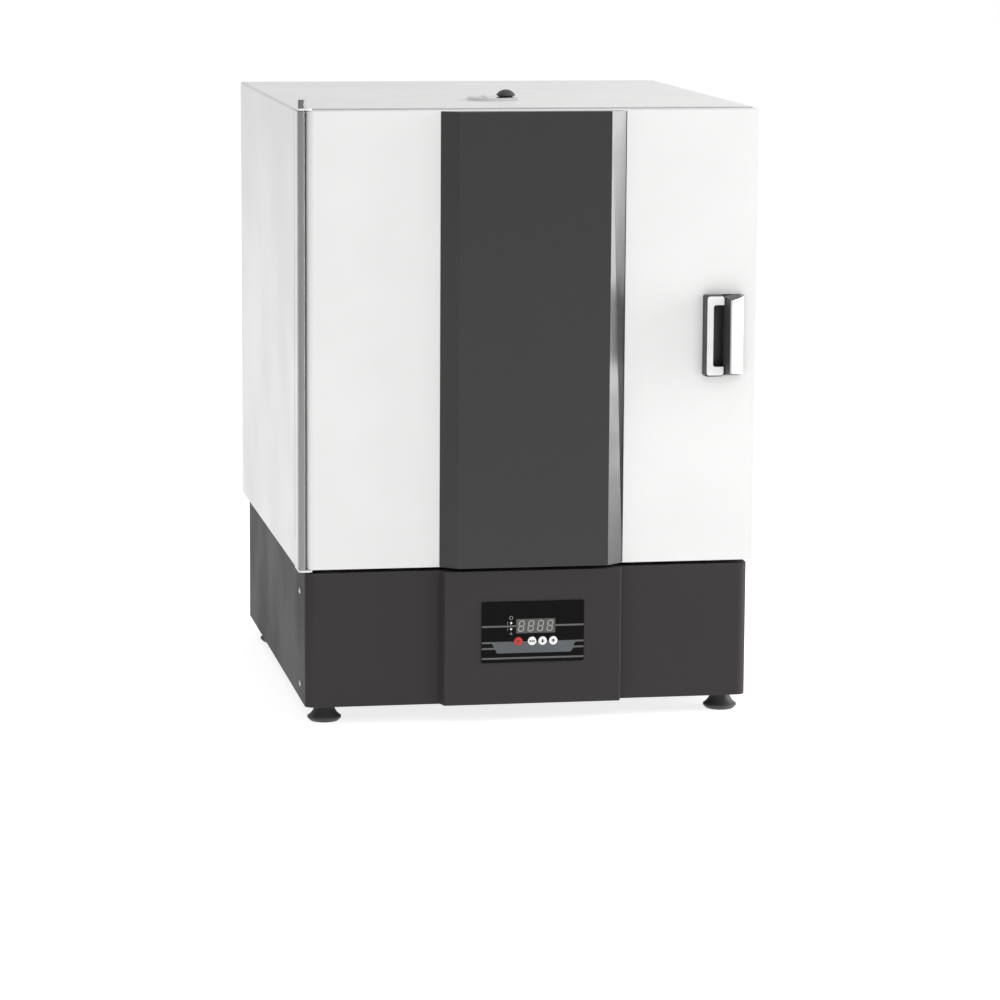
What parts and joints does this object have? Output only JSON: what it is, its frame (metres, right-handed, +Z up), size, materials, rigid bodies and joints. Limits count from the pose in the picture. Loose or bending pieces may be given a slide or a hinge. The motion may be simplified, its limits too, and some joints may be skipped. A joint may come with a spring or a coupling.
{
  "type": "laboratory incubator",
  "caption": "Front-door laboratory incubator: white cabinet on a dark base with a control plate, hinged outer door with a pull latch, inner glass door, wire shelves and a roof vent.",
  "frame": {"origin": "on the floor, under the middle of the whole outline", "axes": "+X to the right as seen from the front, +Y from the door to the rear, +Z up"},
  "size_m": [0.56, 0.636, 0.752],
  "materials": {
    "white_paint": "fine textured semi-gloss powder coat",
    "dark_paint": "semi-gloss dark grey paint",
    "stainless": "brushed",
    "bright_steel": "polished",
    "zinc_steel": "zinc plated",
    "pin_black": "blackened",
    "latch_face": "bright silver",
    "latch_plastic": "satin moulded",
    "foot_plastic": "satin moulded",
    "seal_rubber": "soft matt",
    "wool": "fibrous",
    "clear_glass": "clear tempered",
    "aluminium_fittings": "satin",
    "plate_gloss": "glossy film",
    "display_dark": "smoked window",
    "lamp_clear": "clear lamp",
    "key_red": "gloss",
    "key_white": "gloss",
    "switch_black": "moulded",
    "board_green": "solder mask",
    "block_cream": "moulded"
  },
  "bodies": {
    "cabinet": {"base_chassis": "dark_paint", "base_front_cover": "dark_paint", "base_rear_panel": "dark_paint", "panel_screws": "zinc_steel", "foot_nuts": "zinc_steel", "cabinet_shell": "white_paint", "cabinet_floor": "white_paint", "cabinet_rear_panel": "white_paint", "front_frame": "stainless", "chamber_liner": "stainless", "insulation_jacket": "wool", "heater_element": "stainless", "heater_cover": "stainless", "shelf_racks": "stainless", "shelf_lower": "bright_steel", "shelf_upper": "bright_steel", "temperature_probe": "stainless", "vent_pipe": "stainless", "vent_flange": "bright_steel", "hinge_plates": "white_paint", "base_centre_panel": "dark_paint", "hinge_pins": "pin_black", "strike_bracket": "zinc_steel", "strike_pin": "bright_steel", "glass_pivots": "stainless", "magnet_catch": "latch_plastic", "control_plate": "plate_gloss", "display_module": "display_dark", "indicator_lamps": "lamp_clear", "tactile_switches": "switch_black", "circuit_board": "board_green", "controller_case": "switch_black", "power_relay": "switch_black", "terminal_block": "block_cream", "mains_inlet": "switch_black"},
    "door": {"door_skin": "white_paint", "door_inner_pan": "white_paint", "door_insulation": "wool", "door_gasket": "seal_rubber", "door_panel": "dark_paint", "hinge_rod": "bright_steel", "latch_housing": "latch_plastic", "latch_face": "latch_face", "lever_pin": "zinc_steel"},
    "lever": {"latch_lever": "latch_plastic", "latch_arm": "zinc_steel"},
    "glass_door": {"glass_pane": "clear_glass", "glass_clamps": "aluminium_fittings", "glass_knob": "aluminium_fittings"},
    "vent": {"vent_damper": "bright_steel", "vent_knob": "latch_plastic"},
    "power_key": {"key_power": "key_red"},
    "set_key": {"key_set": "key_white"},
    "down_key": {"key_down": "key_white"},
    "up_key": {"key_up": "key_white"},
    "rocker": {"power_rocker": "switch_black"},
    "front_left_foot": {"foot_front_left": "foot_plastic"},
    "front_right_foot": {"foot_front_right": "foot_plastic"},
    "rear_left_foot": {"foot_rear_left": "foot_plastic"},
    "rear_right_foot": {"foot_rear_right": "foot_plastic"}
  },
  "joints": [
    {"name": "door_hinge", "type": "hinge", "parent": "cabinet", "child": "door", "pos_m": [-0.275, -0.2865, 0.4635], "axis": [0, 0, -1], "range_deg": [0, 120]},
    {"name": "glass_hinge", "type": "hinge", "parent": "cabinet", "child": "glass_door", "pos_m": [-0.1975, -0.2395, 0.4663], "axis": [0, 0, -1], "range_deg": [0, 90]},
    {"name": "lever_pivot", "type": "hinge", "parent": "door", "child": "lever", "pos_m": [0.2572, -0.2967, 0.4663], "axis": [0, 0, 1], "range_deg": [0, 24], "stiffness_Nm_per_rad": 0.5},
    {"name": "vent_turn", "type": "hinge", "parent": "cabinet", "child": "vent", "pos_m": [-0.015, -0.1015, 0.742], "axis": [0, 0, 1], "range_deg": [0, 45]},
    {"name": "power_key_press", "type": "slide", "parent": "cabinet", "child": "power_key", "axis": [0, 1, 0], "range_m": [0, 0.0008], "stiffness_N_per_m": 400},
    {"name": "set_key_press", "type": "slide", "parent": "cabinet", "child": "set_key", "axis": [0, 1, 0], "range_m": [0, 0.0008], "stiffness_N_per_m": 400},
    {"name": "down_key_press", "type": "slide", "parent": "cabinet", "child": "down_key", "axis": [0, 1, 0], "range_m": [0, 0.0008], "stiffness_N_per_m": 400},
    {"name": "up_key_press", "type": "slide", "parent": "cabinet", "child": "up_key", "axis": [0, 1, 0], "range_m": [0, 0.0008], "stiffness_N_per_m": 400},
    {"name": "rocker_tilt", "type": "hinge", "parent": "cabinet", "child": "rocker", "pos_m": [0.2085, 0.3035, 0.083], "axis": [1, 0, 0], "range_deg": [0, 18]},
    {"name": "front_left_foot_screw", "type": "slide", "parent": "cabinet", "child": "front_left_foot", "axis": [0, 0, -1], "range_m": [0, 0.01]},
    {"name": "front_right_foot_screw", "type": "slide", "parent": "cabinet", "child": "front_right_foot", "axis": [0, 0, -1], "range_m": [0, 0.01]},
    {"name": "rear_left_foot_screw", "type": "slide", "parent": "cabinet", "child": "rear_left_foot", "axis": [0, 0, -1], "range_m": [0, 0.01]},
    {"name": "rear_right_foot_screw", "type": "slide", "parent": "cabinet", "child": "rear_right_foot", "axis": [0, 0, -1], "range_m": [0, 0.01]}
  ],
  "couplings": [
    {"joint": "glass_hinge", "follows": "door_hinge", "ratio": 0.75}
  ]
}
